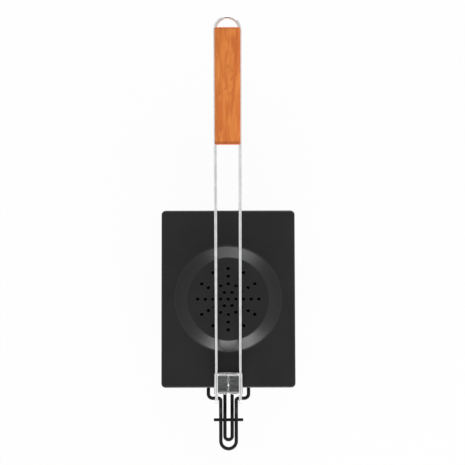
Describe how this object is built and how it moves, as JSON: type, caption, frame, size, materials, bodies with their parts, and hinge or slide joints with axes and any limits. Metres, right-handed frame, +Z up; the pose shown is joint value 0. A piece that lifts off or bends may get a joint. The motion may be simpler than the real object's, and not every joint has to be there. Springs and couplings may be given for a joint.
{
  "type": "popcorn popper",
  "caption": "Rectangular lidded steel pan with a domed, vented lid and a long wire handle with a wooden grip that folds flat over the lid and is locked by a sliding sleeve.",
  "frame": {"origin": "middle of the pan's flat underside", "axes": "+X across the pan, +Y from the latch end to the hinge end and along the folded handle, +Z up out of the lid"},
  "size_m": [0.155, 0.4852, 0.1181],
  "materials": {
    "nonstick_steel": "satin black non-stick coating",
    "black_wire": "satin black coating",
    "chrome_wire": "bright chrome plate",
    "sleeve_steel": "plated sheet",
    "zinc_steel": "zinc plate",
    "hardwood": "oiled red-brown hardwood"
  },
  "bodies": {
    "pan_body": {"pan": "nonstick_steel", "pan_tongue": "black_wire", "stop_bar": "black_wire", "hinge_leaf_left": "nonstick_steel", "hinge_leaf_right": "nonstick_steel", "hinge_pin_left": "zinc_steel", "hinge_pin_right": "zinc_steel", "hinge_rivets": "zinc_steel"},
    "lid_body": {"lid": "nonstick_steel", "lid_tongue": "black_wire"},
    "handle_body": {"handle_wire": "chrome_wire", "grip": "hardwood"},
    "sleeve_body": {"locking_sleeve": "sleeve_steel"}
  },
  "joints": [
    {"name": "lid_open", "type": "hinge", "parent": "pan_body", "child": "lid_body", "pos_m": [0, 0.10055, 0.026], "axis": [-1, 0, 0], "range_deg": [0, 100]},
    {"name": "handle_fold", "type": "hinge", "parent": "lid_body", "child": "handle_body", "pos_m": [0, -0.1147, 0.0363], "axis": [1, 0, 0], "range_deg": [0, 170.31]},
    {"name": "sleeve_slide", "type": "slide", "parent": "handle_body", "child": "sleeve_body", "axis": [0, 0.9858, 0.1682], "range_m": [0, 0.06]}
  ],
  "couplings": [
    {"joint": "sleeve_slide", "follows": "handle_fold", "m_per_rad": 0.020185}
  ]
}
